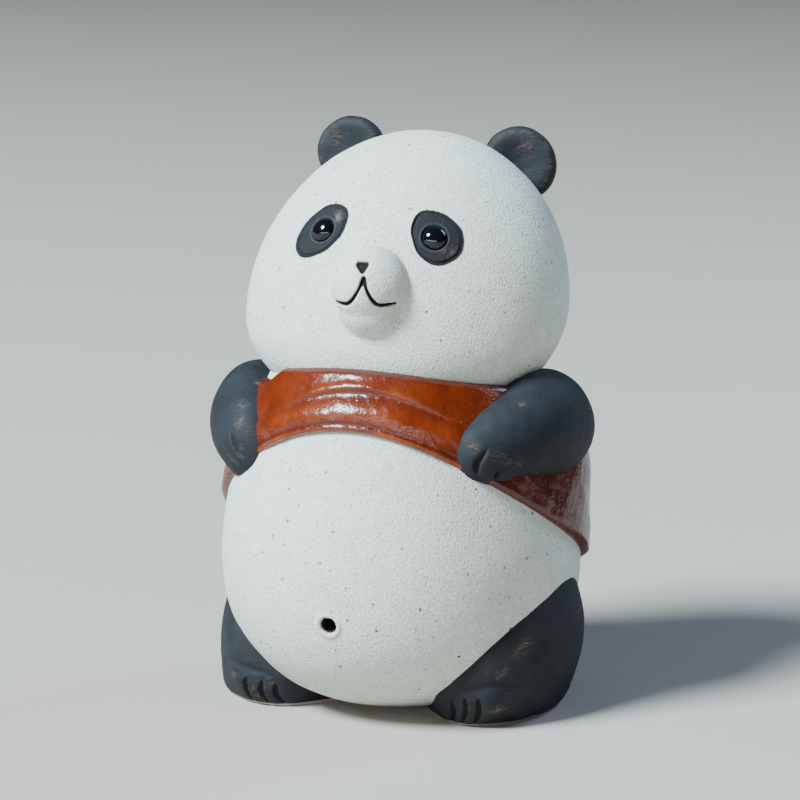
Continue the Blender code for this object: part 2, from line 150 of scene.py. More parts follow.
def make_belly():
    """The egg's skin, raised by its unevenness and the navel's rim, and sunk by the navel. Its rows run from
    the underside to the neck, crowded at the navel, and it is cut flat at the floor."""
    columns, rows = 370, 240
    navel_column, navel_row = 0.5 + NAVEL_AZIMUTH / 2 / math.pi, 0.415
    azimuth = 2.0 * math.pi * (graded(columns + 1, (navel_column, 0.014, 8.0))[:-1] - 0.5)
    rise = np.sin(math.pi * (graded(rows, (navel_row, 0.018, 6.0)) - 0.5))
    up = BELLY_UP * np.abs(rise) ** (2.0 / BELLY_UP_POWER)
    down = BELLY_DOWN * np.abs(rise) ** (2.0 / BELLY_DOWN_POWER)
    level = BELLY_LEVEL + np.where(rise > 0.0, up, -down)
    azimuth, level = np.meshgrid(azimuth, level)
    points = belly_skin(azimuth, level)
    navel = belly_skin(np.array(NAVEL_AZIMUTH), np.array(NAVEL_LEVEL))
    edge = np.linalg.norm(points - navel, axis=-1) / NAVEL_RADIUS
    height = BELLY_WAVE * uneven(points, BELLY_WAVE_SIZE, 1) + BELLY_RIPPLE * uneven(points, RIPPLE_SIZE, 2)
    height += NAVEL_RIM * bell(edge, 1.45, 0.3) - NAVEL_DEPTH * (1.0 - step(edge, 0.80, 1.12))
    points = raised(points, height)
    points[..., 2] = np.maximum(points[..., 2], 0.0)
    # The pigment mark is 1 inside the navel hole: there its dark colour is painted shade in the hole, not
    # pigment.
    marks = {"pigment": 1.0 - step(edge, 0.95, 1.15), "wash": np.full_like(edge, UNWASHED)}
    return clay_form("belly", points, marks)


def linear(code):
    """Linear colour of an sRGB hex code such as D8DED8: each channel is undone by the sRGB curve."""
    channels = [int(code[k : k + 2], 16) / 255.0 for k in (0, 2, 4)]
    return (*[c / 12.92 if c <= 0.04045 else ((c + 0.055) / 1.055) ** 2.4 for c in channels], 1.0)


def new_material(name):
    material = bpy.data.materials.new(name)
    material.use_nodes = True
    return material


def add(material, kind, inputs, **settings):
    """Adds one node with its settings. Each input, by its name or its number, is a value or an output that
    is linked to it."""
    node = material.node_tree.nodes.new("ShaderNode" + kind)
    for setting, value in settings.items():
        setattr(node, setting, value)
    for socket, value in inputs.items():
        if isinstance(value, bpy.types.NodeSocket):
            material.node_tree.links.new(value, node.inputs[socket])
        else:
            node.inputs[socket].default_value = value
    return node


def per_mm(size):
    """Texture scale, in Object coordinates in metres, that gives features of a size in mm."""
    return 1000.0 / size


# Bare stoneware: a pale buff body fired in a reducing kiln, so it is cool and matte, with a fine sand that
# catches the light grain by grain, and a few specks where bits of iron in the clay have melted out.
CLAY_DARK, CLAY_PALE, SPECK_COLOUR, PIT_COLOUR = "C6CAC0", "DFE2D8", "352F2C", "6E6A62"
MOTTLE_MM = 2.6
GRAIN_MM = 0.27
SAND_MM = 0.42
SPECK_CELL_MM, SPECK_RADIUS_MM = 2.1, 0.27
PIT_CELL_MM, PIT_RADIUS_MM = 1.15, 0.15
SAND_DEPTH = 0.0002
stoneware = new_material("unglazed_sandy_stoneware")
place = add(stoneware, "TexCoord", {}).outputs["Object"]
mottle = add(
    stoneware, "TexNoise", {"Vector": place, "Scale": per_mm(MOTTLE_MM), "Detail": 5.0, "Roughness": 0.62}
)
clay = add(
    stoneware, "Mix", {0: mottle.outputs["Fac"], 6: linear(CLAY_DARK), 7: linear(CLAY_PALE)},
    data_type="RGBA",
)
grain = add(
    stoneware, "TexNoise", {"Vector": place, "Scale": per_mm(GRAIN_MM), "Detail": 2.0, "Roughness": 0.6}
)
pepper = add(
    stoneware, "MapRange", {"Value": grain.outputs["Fac"], "From Min": 0.28, "From Max": 0.50, "To Min": 0.55}
)
clay = add(
    stoneware, "Mix", {0: 1.0, 6: clay.outputs[2], 7: pepper.outputs[0]},
    data_type="RGBA", blend_type="MULTIPLY",
)
specks = add(stoneware, "TexVoronoi", {"Vector": place, "Scale": per_mm(SPECK_CELL_MM)})
speck_edge = SPECK_RADIUS_MM / SPECK_CELL_MM
speck = add(
    stoneware, "MapRange",
    {
        "Value": specks.outputs["Distance"], "To Min": 1.0, "To Max": 0.0,
        "From Min": 0.6 * speck_edge, "From Max": 1.2 * speck_edge,
    },
)
pick = add(stoneware, "SeparateColor", {"Color": specks.outputs["Color"]})
strength = add(stoneware, "MapRange", {"Value": pick.outputs[0], "From Min": 0.25, "To Max": 0.95})
speck = add(stoneware, "Math", {0: speck.outputs[0], 1: strength.outputs[0]}, operation="MULTIPLY")
clay = add(
    stoneware, "Mix", {0: speck.outputs[0], 6: clay.outputs[2], 7: linear(SPECK_COLOUR)}, data_type="RGBA"
)

pits = add(stoneware, "TexVoronoi", {"Vector": place, "Scale": per_mm(PIT_CELL_MM)})
pit_edge = PIT_RADIUS_MM / PIT_CELL_MM
pit = add(
    stoneware, "MapRange",
    {
        "Value": pits.outputs["Distance"], "To Min": 0.65, "To Max": 0.0,
        "From Min": 0.5 * pit_edge, "From Max": 1.3 * pit_edge,
    },
)
clay = add(
    stoneware, "Mix", {0: pit.outputs[0], 6: clay.outputs[2], 7: linear(PIT_COLOUR)}, data_type="RGBA"
)

# Iron oxide wash, brushed on the eye patches over the same clay: darkest in the groove inside the outline,
# grey on the ring round the bead, where it is also painted lighter as a highlight on the ring's ridge, and
# rubbed back in one spot. Thick brown pigment fills the cut lines, and its dark colour is painted into the
# navel hole as painted shade.
PATCH_DARK, PATCH_PALE, PATCH_RUBBED = "08090B", "1A1C20", "6E5A50"
PATCH_GROOVE, PATCH_RING_GREY_AND_HIGHLIGHT = "0A0606", "404850"
PIGMENT_THIN, PIGMENT_THICK_AND_HOLE_SHADE = "6A4638", "160F0E"
RAGGED_MM = 0.7
PATCH_CLOUD_MM = 1.6
wash_mark = add(stoneware, "Attribute", {}, attribute_name="wash")
ragged = add(stoneware, "TexNoise", {"Vector": place, "Scale": per_mm(RAGGED_MM), "Detail": 3.0})
wash_edge = add(
    stoneware, "Math", {0: ragged.outputs["Fac"], 1: 0.16, 2: wash_mark.outputs["Fac"]},
    operation="MULTIPLY_ADD",
)
wash_share = add(stoneware, "MapRange", {"Value": wash_edge.outputs[0], "From Min": 0.02, "From Max": 0.16})
patch_tone = add(
    stoneware, "TexNoise",
    {"Vector": place, "Scale": per_mm(PATCH_CLOUD_MM), "Detail": 4.0, "Roughness": 0.65},
)
patch = add(
    stoneware, "Mix", {0: patch_tone.outputs["Fac"], 6: linear(PATCH_DARK), 7: linear(PATCH_PALE)},
    data_type="RGBA",
)
rub_mark = add(stoneware, "Attribute", {}, attribute_name="rub")
rub_fleck = add(
    stoneware, "MapRange", {"Value": patch_tone.outputs["Fac"], "From Min": 0.42, "From Max": 0.62}
)
rub = add(stoneware, "Math", {0: rub_mark.outputs["Fac"], 1: rub_fleck.outputs[0]}, operation="MULTIPLY")
patch = add(
    stoneware, "Mix", {0: rub.outputs[0], 6: patch.outputs[2], 7: linear(PATCH_RUBBED)}, data_type="RGBA"
)
groove = add(
    stoneware, "MapRange",
    {"Value": wash_mark.outputs["Fac"], "From Min": 0.40, "From Max": 0.56, "To Min": 0.9, "To Max": 0.0},
)
patch = add(
    stoneware, "Mix", {0: groove.outputs[0], 6: patch.outputs[2], 7: linear(PATCH_GROOVE)}, data_type="RGBA"
)
# The rim mark paints the ring round each bead lighter: grey wash and a painted highlight on its ridge.
ring_grey_and_highlight_mark = add(stoneware, "Attribute", {}, attribute_name="rim")
patch = add(
    stoneware, "Mix", {0: ring_grey_and_highlight_mark.outputs["Fac"], 6: patch.outputs[2], 7: linear(PATCH_RING_GREY_AND_HIGHLIGHT)},
    data_type="RGBA",
)
clay = add(
    stoneware, "Mix", {0: wash_share.outputs[0], 6: clay.outputs[2], 7: patch.outputs[2]}, data_type="RGBA"
)
# Besides the pigment in the cut lines, this mark paints shade into the navel hole.
pigment_and_hole_shade_mark = add(stoneware, "Attribute", {}, attribute_name="pigment")
stain_and_hole_shade = add(stoneware, "MapRange", {"Value": pigment_and_hole_shade_mark.outputs["Fac"], "From Min": 0.15, "From Max": 0.45})
ink_and_hole_shade = add(stoneware, "MapRange", {"Value": pigment_and_hole_shade_mark.outputs["Fac"], "From Min": 0.3, "From Max": 0.6})
pigment = add(
    stoneware, "Mix", {0: ink_and_hole_shade.outputs[0], 6: linear(PIGMENT_THIN), 7: linear(PIGMENT_THICK_AND_HOLE_SHADE)},
    data_type="RGBA",
)
clay = add(
    stoneware, "Mix", {0: stain_and_hole_shade.outputs[0], 6: clay.outputs[2], 7: pigment.outputs[2]}, data_type="RGBA"
)
sand = add(stoneware, "TexVoronoi", {"Vector": place, "Scale": per_mm(SAND_MM)})
relief = add(
    stoneware, "Math", {0: sand.outputs["Distance"], 1: 0.5, 2: grain.outputs["Fac"]},
    operation="MULTIPLY_ADD",
)
bump = add(stoneware, "Bump", {"Height": relief.outputs[0], "Strength": 0.62, "Distance": SAND_DEPTH})
dryness = add(stoneware, "MapRange", {"Value": wash_share.outputs[0], "To Min": 0.9, "To Max": 0.8})
shader = stoneware.node_tree.nodes["Principled BSDF"]
stoneware.node_tree.links.new(clay.outputs[2], shader.inputs["Base Color"])
stoneware.node_tree.links.new(dryness.outputs[0], shader.inputs["Roughness"])
stoneware.node_tree.links.new(bump.outputs["Normal"], shader.inputs["Normal"])
shader.inputs["IOR"].default_value = 1.4

belly = make_belly()
belly.data.materials.append(stoneware)
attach(belly, "root")
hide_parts("panda_figurine")

# Head: a second moulded egg, luted on with its chin low, of the same bare clay. Two balls of clay are
# smeared on for the muzzle and the lip, and the nose and the mouth are cut in and stained with brown pigment.

HEAD_CENTRE = np.array([0.25, 1.0, 60.35])
HEAD_HALF_WIDTH = 24.95
HEAD_FRONT, HEAD_BACK = 20.9, 22.0
HEAD_UP, HEAD_UP_POWER = 26.7, 1.98
HEAD_DOWN, HEAD_DOWN_POWER = 15.3, 1.95
HEAD_JOWL = 2.6
HEAD_TIP, HEAD_LEAN = 0.16, 0.068
HEAD_TURN = math.radians(5.0)
HEAD_WAVE, HEAD_WAVE_SIZE = 0.09, 15.0
HEAD_RIPPLE = 0.02
MUZZLE, MUZZLE_RADIUS, MUZZLE_FILLET = np.array([-0.5, -18.9, 6.2]), 5.8, 0.9
LIP, LIP_RADIUS, LIP_FILLET = np.array([-0.4, -18.4, 3.1]), 5.0, 0.4
NOSE_CORNERS = np.array([(-1.62, 10.2), (0.5, 10.15), (-0.22, 8.65)])
NOSE_STROKE = 0.42
MOUTH_TOP, MOUTH_DROP = 8.0, 4.05
MOUTH_REACH = {-1: 5.8, 1: 4.15}
LINE_DEPTH = 0.62

# For each eye: azimuth and rise of the bead, then the patch: its middle from the bead, its two half
# widths, its slant in degrees, how much it widens to one end, and a rubbed spot's place from the bead
EYES = {
    "eye_right": (-30.4, 0.597, (-0.41, -0.19), (5.1, 3.6), 56.2, 0.062, (1.7, 2.6)),
    "eye_left": (21.4, 0.589, (0.28, 0.22), (4.58, 3.73), 117.6, -0.138, (1.9, -2.3)),
}
PATCH_PROUD = 0.10
PATCH_GROOVE_DEPTH, PATCH_GROOVE_INSIDE, PATCH_GROOVE_WIDTH = 0.30, 0.42, 0.14
EYE_RUB_RADIUS = 0.9
BEAD_RADIUS = 1.9 * MM
BEAD_RING = 2.2 * MM


def head_egg(azimuth, rise):
    """Skin of the bare head in its own frame. Rise is -1 at the chin and 1 at the crown."""
    jowl = HEAD_JOWL * (0.5 + 0.5 * np.sin(azimuth)) ** 2
    power = np.where(rise > 0.0, HEAD_UP_POWER, HEAD_DOWN_POWER)
    up = np.sign(rise) * np.abs(rise) ** (2.0 / power) * np.where(rise > 0.0, HEAD_UP, HEAD_DOWN + jowl)
    girth = np.clip(1.0 - rise * rise, 0.0, 1.0) ** (1.0 / power)
    y = -np.where(np.cos(azimuth) > 0.0, HEAD_FRONT, HEAD_BACK) * girth * np.cos(azimuth)
    x = HEAD_HALF_WIDTH * girth * np.sin(azimuth) + HEAD_LEAN * up
    return np.stack([x, y, up + HEAD_TIP * y], axis=-1)


def to_figure(points):
    """From the head's own frame to the figure's: a turn about Z, then the move to its centre."""
    c, s = math.cos(HEAD_TURN), math.sin(HEAD_TURN)
    turn = np.array([[c, -s, 0.0], [s, c, 0.0], [0.0, 0.0, 1.0]])
    return points @ turn.T + HEAD_CENTRE


def soft_union(first, second, fillet):
    """The greater of two reaches, with a fillet where they are close."""
    near = np.maximum(fillet - np.abs(first - second), 0.0) / fillet
    return np.maximum(first, second) + 0.25 * fillet * near**2


def ball_reach(ways, centre, radius):
    """How far each way from the head's centre runs before it leaves a ball; short of it where it misses."""
    along = ways @ centre
    inside = along**2 - centre @ centre + radius**2
    return along + np.sign(inside) * np.sqrt(np.abs(inside))


def eye_frame(name):
    """Place of the bead on the head, and the across, up and outward directions there."""
    azimuth, rise = math.radians(EYES[name][0]), EYES[name][1]
    nudge = 1e-3
    here = head_egg(np.array(azimuth), np.array(rise))
    across = head_egg(np.array(azimuth + nudge), np.array(rise)) - here
    out = np.cross(across, head_egg(np.array(azimuth), np.array(rise + nudge)) - here)
    across, out = across / np.linalg.norm(across), out / np.linalg.norm(out)
    return here, across, np.cross(out, across), out


def patch_depth(points, name):
    """How far inside a patch's outline each point lies, below 0 outside, and how far it is from the bead."""
    _, _, (middle_x, middle_y), (long, short), slant, widening, _ = EYES[name]
    here, across, up, _ = eye_frame(name)
    from_bead = points - here
    x, y = from_bead @ across - middle_x, from_bead @ up - middle_y
    c, s = math.cos(math.radians(slant)), math.sin(math.radians(slant))
    u, v = x * c + y * s, y * c - x * s
    round_it = np.arctan2(v, u)
    hand = 1.0 + 0.012 * np.sin(3.0 * round_it + 0.7) + 0.010 * np.sin(7.0 * round_it + 2.0)
    reach = np.hypot(u / long, v / (short * (1.0 + widening * np.clip(u / long, -1.0, 1.0)))) / hand
    away = np.linalg.norm(from_bead, axis=-1)
    this_side_of_head = away < 12.0
    return np.where(this_side_of_head, (1.0 - reach) * math.sqrt(long * short), UNWASHED), away


def line_depth(points, path, width):
    """1 on a path drawn on the face, in x and z, falling to 0 at the width that the line has at its
    nearest place."""
    depth = np.zeros(points.shape[:2])
    x, y, z = points[..., 0], points[..., 1], points[..., 2]
    near = (y < -12.0) & (np.abs(x) < 9.0) & (np.abs(z - 6.0) < 8.0)
    gap = np.hypot(x[near][:, None] - path[:, 0], z[near][:, None] - path[:, 1])
    depth[near] = np.exp(-((gap / width) ** 2)).max(axis=1)
    return depth


def make_head():
    """The egg joined softly to the two balls, each as a reach from the centre, then raised and sunk for the
    eyes, the mouth and the nose."""
    columns, rows = 372, 254
    around = graded(columns + 1, (0.5, 0.055, 6.0), (0.414, 0.035, 2.5), (0.5625, 0.035, 2.5))[:-1]
    along = graded(rows, (0.61, 0.085, 3.2), (0.70, 0.05, 1.5))
    azimuth, rise = np.meshgrid(2.0 * math.pi * (around - 0.5), np.sin(math.pi * (along - 0.5)))
    egg = head_egg(azimuth, rise)
    reach = np.linalg.norm(egg, axis=-1)
    ways = egg / reach[..., None]
    snout = soft_union(ball_reach(ways, MUZZLE, MUZZLE_RADIUS), ball_reach(ways, LIP, LIP_RADIUS), LIP_FILLET)
    points = ways * soft_union(reach, snout, MUZZLE_FILLET)[..., None]

    height = HEAD_WAVE * uneven(points, HEAD_WAVE_SIZE, 3) + HEAD_RIPPLE * uneven(points, RIPPLE_SIZE, 4)
    wash, rim, rub = np.full_like(reach, UNWASHED), np.zeros_like(reach), np.zeros_like(reach)
    for name in EYES:
        inside, from_bead = patch_depth(egg, name)
        wash = np.maximum(wash, inside)
        groove = PATCH_GROOVE_DEPTH * bell(inside, PATCH_GROOVE_INSIDE, PATCH_GROOVE_WIDTH)
        height += PATCH_PROUD * step(inside, 0.0, 0.2) - groove
        height += 0.12 * bell(from_bead, BEAD_RING, 0.13) - 0.25 * (1.0 - step(from_bead, 1.7, 2.1))
        # The ring round the bead is painted lighter: grey wash and a painted highlight on its ridge.
        rim = np.maximum(rim, 0.6 * bell(from_bead, BEAD_RING, 0.09))
        here, across, up, _ = eye_frame(name)
        spot = here + EYES[name][-1][0] * across + EYES[name][-1][1] * up
        rubbed = 0.9 * bell(np.linalg.norm(egg - spot, axis=-1), 0.0, EYE_RUB_RADIUS)
        rub = np.maximum(rub, rubbed * (inside > 0.5))

    pigment = np.zeros_like(reach)
    for side, across in MOUTH_REACH.items():
        share = np.linspace(0.0, 1.0, 90)
        drop = np.sin(0.5 * math.pi * np.minimum(share / 0.56, 1.0)) ** 0.85 - 0.04 * step(share, 0.6, 1.0)
        path = np.stack([side * across * share, MOUTH_TOP - MOUTH_DROP * drop], axis=-1)
        width = 0.13 + 0.17 * np.sin(math.pi * share) ** 0.8 + 0.24 * bell(share, 0.0, 0.07)
        pigment = np.maximum(pigment, line_depth(points, path, width))
    for start, end in zip(NOSE_CORNERS, np.roll(NOSE_CORNERS, -1, axis=0)):
        edge = start + (end - start) * np.linspace(0.0, 1.0, 12)[:, None]
        inset = 0.55 * edge + 0.45 * NOSE_CORNERS.mean(axis=0)
        pigment = np.maximum(pigment, line_depth(points, inset, NOSE_STROKE))
    height -= LINE_DEPTH * pigment - 0.10 * bell(pigment, 0.25, 0.2)
    points = to_figure(raised(points, height))
    return clay_form("head", points, {"wash": wash, "rim": rim, "rub": rub, "pigment": pigment})


head = make_head()
head.data.materials.append(stoneware)
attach(head, "root")
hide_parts("panda_figurine")

# Eyes: a bead of black glaze melted into a ring cut in the middle of each patch. It is glass, so it keeps
# the high polish of the kiln and a round highlight.

BEAD_PROUD, BEAD_SUNK = 1.3 * MM, 0.2
BEAD_COLOUR = "0B0B0E"
RIPPLE_MM = 1.4
bead_glaze = new_material("black_glaze_glass")
shader = bead_glaze.node_tree.nodes["Principled BSDF"]
shader.inputs["Base Color"].default_value = linear(BEAD_COLOUR)
shader.inputs["IOR"].default_value = 1.52
place = add(bead_glaze, "TexCoord", {}).outputs["Object"]
ripple = add(bead_glaze, "TexNoise", {"Vector": place, "Scale": per_mm(RIPPLE_MM), "Detail": 2.0})
bump = add(bead_glaze, "Bump", {"Height": ripple.outputs["Fac"], "Strength": 0.12, "Distance": 0.0002})
polish = add(bead_glaze, "MapRange", {"Value": ripple.outputs["Fac"], "To Min": 0.05, "To Max": 0.14})
bead_glaze.node_tree.links.new(bump.outputs["Normal"], shader.inputs["Normal"])
bead_glaze.node_tree.links.new(polish.outputs[0], shader.inputs["Roughness"])


def make_bead(name):
    """A flattened ball: round across the head's skin, with its dome standing out of it."""
    columns, rows = 48, 40
    here, across, up, out = eye_frame(name)
    round_it = np.linspace(0.0, 2.0 * math.pi, columns, endpoint=False)
    turn, rise = np.meshgrid(round_it, np.linspace(-0.5, 0.5, rows) * math.pi)
    flat = BEAD_RADIUS * np.cos(rise)
    points = here + (flat * np.cos(turn))[..., None] * across + (flat * np.sin(turn))[..., None] * up
    points += (BEAD_PROUD * np.sin(rise) - BEAD_SUNK)[..., None] * out
    return clay_form(name, to_figure(points), {})


for name in EYES:
    bead = make_bead(name)
    bead.data.materials.append(bead_glaze)
    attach(bead, "root")
    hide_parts("panda_figurine")

# Arms: two rolls of clay laid round the body from behind the shoulders, their paws pressed on the belly,
# with the fingers cut in. They are brushed with iron oxide and rubbed back, so the high spots show copper.

# Each station is an azimuth in degrees, then the section there: its level, how far out its centre lies, its
# half height and its half thickness
ARM = (
    (37.5, (42.0, 24.2, 3.8, 3.0)),
    (45.0, (42.3, 24.1, 4.6, 3.9)),
    (52.0, (42.6, 23.6, 5.9, 4.9)),
    (60.0, (43.4, 23.3, 6.3, 5.6)),
    (72.0, (44.3, 22.9, 7.7, 6.4)),
    (90.0, (43.8, 22.6, 8.5, 6.9)),
    (110.0, (42.5, 22.4, 7.9, 6.8)),
    (132.0, (42.4, 21.8, 7.0, 5.4)),
)
ARM_START, ARM_END = ARM[0][0], ARM[-1][0]
ARM_PAW_CLOSES, ARM_BACK_CLOSES = 12.0, 26.0
ARM_WAVE, ARM_WAVE_SIZE = 0.14, 9.0
ARM_RIPPLE, ARM_RIPPLE_SIZE = 0.03, 2.6
RIGHT_ARM_LOWER = 1.1
RIGHT_SHOULDER_FULLER, RIGHT_SHOULDER_AT, RIGHT_SHOULDER_HALF_WIDTH = 0.9, 62.0, 16.0
# Each finger groove runs through places given by azimuth and turn round the section, both in degrees
FINGERS = {
    1: (
        ((46.2, 14.0), (43.6, -8.0), (43.2, -24.0), (44.0, -40.0)),
        ((50.8, -28.0), (50.3, -35.0), (50.8, -42.0)),
    ),
    -1: (
        ((47.4, 22.0), (44.4, 0.0), (42.0, -20.0)),
        ((51.0, 2.0), (47.8, -17.0), (45.4, -35.0)),
        ((55.4, -12.0), (52.6, -28.0), (50.2, -43.0)),
    ),
}
FINGER_WIDTH, FINGER_DEPTH = 0.52, 0.7
# Rubbed spots, each an azimuth, a turn and a radius in parts. In the grooves the mark is below 0 instead
ARM_RUBS_AND_HIGHLIGHT = {
    # On the left arm the last spot, on the paw's upper face, is a painted highlight where the light falls,
    # not a rub
    1: ((62.3, 58.0, 0.6), (49.8, -3.0, 0.9), (53.0, -12.0, 0.7), (56.8, -20.0, 0.8), (42.3, 24.0, 0.7)),
    -1: ((50.2, 65.0, 0.8), (45.7, 42.0, 0.7), (46.5, 52.0, 0.6), (43.0, 2.0, 0.5), (60.0, 100.0, 0.6)),
}


def through(stations, place):
    """Values at places along a list of (place, values), on cubic curves whose slopes follow the
    neighbours."""
    at = np.array([station[0] for station in stations])
    values = np.array([station[1] for station in stations])
    slope = np.empty_like(values)
    slope[1:-1] = (values[2:] - values[:-2]) / (at[2:] - at[:-2])[:, None]
    slope[0] = (values[1] - values[0]) / (at[1] - at[0])
    slope[-1] = (values[-1] - values[-2]) / (at[-1] - at[-2])
    k = np.clip(np.searchsorted(at, place, side="right") - 1, 0, len(at) - 2)
    gap = (at[k + 1] - at[k])[..., None]
    t = (place - at[k])[..., None] / gap
    blend = values[k] * (2 * t**3 - 3 * t**2 + 1) + values[k + 1] * (3 * t**2 - 2 * t**3)
    return np.moveaxis(blend + gap * (slope[k] * (t**3 - 2 * t**2 + t) + slope[k + 1] * (t**3 - t**2)), -1, 0)


def arm_skin(side, azimuth, turn):
    """Skin of an arm: an oval section in the plane of each azimuth, in degrees, closed round at both ends."""
    level, out, tall, thick = through(ARM, azimuth)
    if side < 0:
        fuller = RIGHT_SHOULDER_FULLER * bell(azimuth, RIGHT_SHOULDER_AT, RIGHT_SHOULDER_HALF_WIDTH)
        level, tall, thick = level - RIGHT_ARM_LOWER, tall + fuller, thick + 0.5 * fuller
    to_paw = np.clip((azimuth - ARM_START) / ARM_PAW_CLOSES, 0.0, 1.0)
    to_back = np.clip((ARM_END - azimuth) / ARM_BACK_CLOSES, 0.0, 1.0)
    close = np.sqrt(1.0 - (1.0 - to_paw) ** 3) * np.sqrt(1.0 - (1.0 - to_back) ** 2)
    reach = out + thick * close * np.cos(turn)
    x, y = side * reach * np.sin(np.radians(azimuth)), -reach * np.cos(np.radians(azimuth))
    return np.stack([x, y, level + tall * close * np.sin(turn)], axis=-1)


def cut_depth(points, path, width):
    """1 on a path through space, falling to 0 at the width, which narrows at both ends of the path."""
    swell = np.sin(math.pi * np.linspace(0.03, 0.97, len(path))) ** 0.6
    near = np.linalg.norm(points - path.mean(axis=0), axis=-1) < 12.0
    gap = np.linalg.norm(points[near][:, None, :] - path, axis=-1)
    depth = np.zeros(points.shape[:2])
    depth[near] = (swell * np.exp(-((gap / (width * (0.4 + 0.6 * swell))) ** 2))).max(axis=1)
    return depth


def drawn(places, count=40):
    """A smooth path through the given places, as rows of values."""
    return through(tuple(enumerate(places)), np.linspace(0.0, len(places) - 1.0, count)).T


def make_arm(name, side):
    """The roll, crowded with points at the paw, with its finger grooves and its rubbed spots. The left arm's
    columns are turned round, so that its faces point outward as the right arm's do."""
    columns, rows = 150, 210
    along = graded(rows, (0.28, 0.12, 1.6))
    azimuth = ARM_START + (ARM_END - ARM_START) * 0.5 * (1.0 - np.cos(math.pi * along))
    round_it = 2.0 * math.pi * graded(columns + 1, (0.42, 0.12, 1.2))[:-1] - math.pi
    turn, azimuth = np.meshgrid(round_it, azimuth)
    points = arm_skin(side, azimuth, turn)
    height = ARM_WAVE * uneven(points, ARM_WAVE_SIZE, 7) + ARM_RIPPLE * uneven(points, ARM_RIPPLE_SIZE, 8)
    cuts = np.zeros_like(height)
    for groove in FINGERS[side]:
        path = drawn(groove)
        path = arm_skin(side, path[:, 0], np.radians(path[:, 1]))
        cuts = np.maximum(cuts, cut_depth(points, path, FINGER_WIDTH))
    height += 0.10 * bell(cuts, 0.3, 0.28) - FINGER_DEPTH * cuts
    rub = 0.15 * bell(cuts, 0.2, 0.12) - step(cuts, 0.25, 0.7)
    # One of these spots is a painted highlight on the left paw, not a rub.
    for spot_azimuth, spot_turn, radius in ARM_RUBS_AND_HIGHLIGHT[side]:
        spot = arm_skin(side, np.array(spot_azimuth), np.radians(spot_turn))
        rub = np.maximum(rub, bell(np.linalg.norm(points - spot, axis=-1), 0.0, radius) - 2.0 * cuts)
    if side > 0:
        points, height, rub = points[:, ::-1], height[:, ::-1], rub[:, ::-1]
    return clay_form(name, raised(points, height), {"rub": rub})


# Iron oxide wash on clay: a thin dry coat of blue-black, brushed in streaks that follow the hand, and matte.
# Where it was wiped with a sponge the fired iron shows as brown copper. In the cuts it lies thick and black.
OXIDE_DARK, OXIDE_PALE, OXIDE_THICK = "080B0F", "171D26", "030405"
COPPER, BARE_EDGE = "75594C", "A89F92"
CLOUD_MM = 5.0
BRUSH_MM, BRUSH_STREAK = 1.1, 3.2
BRUSH_DEPTH = 0.00014
# The wash ends between these two heights, in metres, above the very edge of the sole
FOOT_LINE_LOW, FOOT_LINE_HIGH = 0.00040, 0.00058
oxide = new_material("brushed_iron_oxide_wash")
place = add(oxide, "TexCoord", {}).outputs["Object"]
cloud = add(oxide, "TexNoise", {"Vector": place, "Scale": per_mm(CLOUD_MM), "Detail": 5.0, "Roughness": 0.6})
tone = add(oxide, "MapRange", {"Value": cloud.outputs["Fac"], "From Min": 0.32, "From Max": 0.68})
wash = add(
    oxide, "Mix", {0: tone.outputs[0], 6: linear(OXIDE_DARK), 7: linear(OXIDE_PALE)}, data_type="RGBA"
)
brush_run = add(oxide, "Mapping", {"Vector": place, "Scale": (1.0, 1.0, BRUSH_STREAK)})
brush = add(
    oxide, "TexNoise",
    {
        "Vector": brush_run.outputs[0], "Scale": per_mm(BRUSH_MM),
        "Detail": 4.0, "Roughness": 0.7, "Distortion": 0.4,
    },
)
bristle = add(
    oxide, "MapRange",
    {"Value": brush.outputs["Fac"], "From Min": 0.35, "From Max": 0.7, "To Min": 0.74, "To Max": 1.22},
)
wash = add(
    oxide, "Mix", {0: 1.0, 6: wash.outputs[2], 7: bristle.outputs[0]},
    data_type="RGBA", blend_type="MULTIPLY",
)
rub_mark = add(oxide, "Attribute", {}, attribute_name="rub")
worn = add(
    oxide, "MapRange", {"Value": brush.outputs["Fac"], "From Min": 0.46, "From Max": 0.66, "To Max": 0.9}
)
worn = add(oxide, "Math", {0: worn.outputs[0], 1: rub_mark.outputs["Fac"]}, operation="MULTIPLY")
wash = add(oxide, "Mix", {0: worn.outputs[0], 6: wash.outputs[2], 7: linear(COPPER)}, data_type="RGBA")
thick = add(oxide, "MapRange", {"Value": rub_mark.outputs["Fac"], "From Min": 0.0, "From Max": -0.8})
wash = add(oxide, "Mix", {0: thick.outputs[0], 6: wash.outputs[2], 7: linear(OXIDE_THICK)}, data_type="RGBA")
height = add(oxide, "SeparateXYZ", {"Vector": place}).outputs["Z"]
foot_line = add(
    oxide, "MapRange",
    {"Value": height, "From Min": FOOT_LINE_LOW, "From Max": FOOT_LINE_HIGH, "To Min": 1.0, "To Max": 0.0},
)
wash = add(
    oxide, "Mix", {0: foot_line.outputs[0], 6: wash.outputs[2], 7: linear(BARE_EDGE)}, data_type="RGBA"
)
grit = add(oxide, "TexNoise", {"Vector": place, "Scale": per_mm(GRAIN_MM), "Detail": 3.0, "Roughness": 0.65})
relief = add(
    oxide, "Math", {0: brush.outputs["Fac"], 1: 0.8, 2: grit.outputs["Fac"]}, operation="MULTIPLY_ADD"
)
bump = add(oxide, "Bump", {"Height": relief.outputs[0], "Strength": 0.5, "Distance": BRUSH_DEPTH})
dryness = add(
    oxide, "MapRange",
    {"Value": brush.outputs["Fac"], "From Min": 0.3, "From Max": 0.7, "To Min": 0.66, "To Max": 0.84},
)
shader = oxide.node_tree.nodes["Principled BSDF"]
shader.inputs["IOR"].default_value = 1.45
oxide.node_tree.links.new(wash.outputs[2], shader.inputs["Base Color"])
